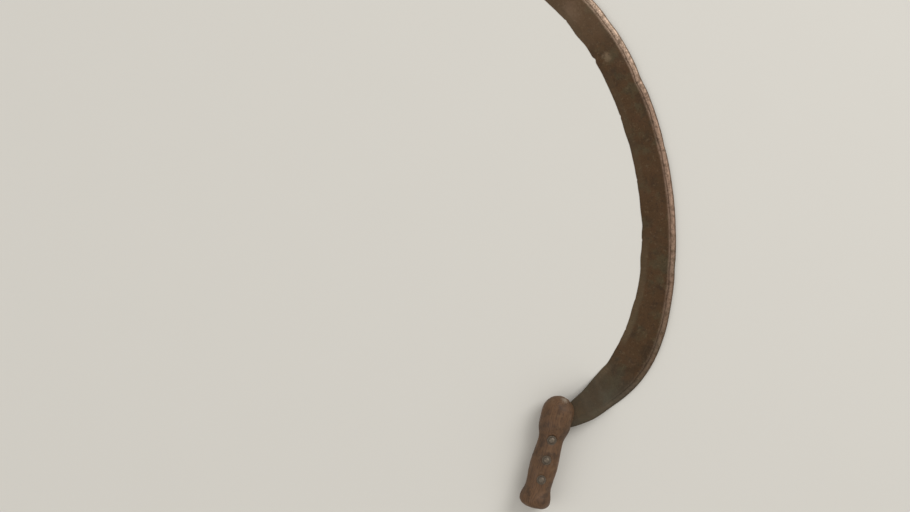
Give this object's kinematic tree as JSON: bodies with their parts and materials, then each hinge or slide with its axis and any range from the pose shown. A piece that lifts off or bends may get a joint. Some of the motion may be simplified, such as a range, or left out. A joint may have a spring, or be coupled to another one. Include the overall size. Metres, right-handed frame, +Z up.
{
  "type": "reaping hook",
  "caption": "Large hand-forged sickle: ribbed crescent blade with a ground inner edge, its flat tang cranked into a turned wooden handle and held by rivets over burrs.",
  "frame": {"origin": "middle of the box in plan, on the surface that the hook lies on", "axes": "+Z up out of the blade's ribbed face, +Y from the handle's end towards the point, +X from the open bow towards the blade's back"},
  "size_m": [0.2528, 0.6434, 0.0368],
  "materials": {
    "forged_iron": "forged, brown patina, worn along the rib and ground along the edge",
    "handle_wood": "turned hardwood, oiled and darkened by use",
    "rivet_iron": "hammered, worn",
    "burr_iron": "punched, worn"
  },
  "bodies": {
    "root": {"blade": "forged_iron", "handle": "handle_wood", "rivet_front": "rivet_iron", "rivet_middle": "rivet_iron", "rivet_rear": "rivet_iron", "upper_burr_front": "burr_iron", "upper_burr_middle": "burr_iron", "upper_burr_rear": "burr_iron", "lower_burr_front": "burr_iron", "lower_burr_middle": "burr_iron", "lower_burr_rear": "burr_iron"}
  },
  "joints": []
}
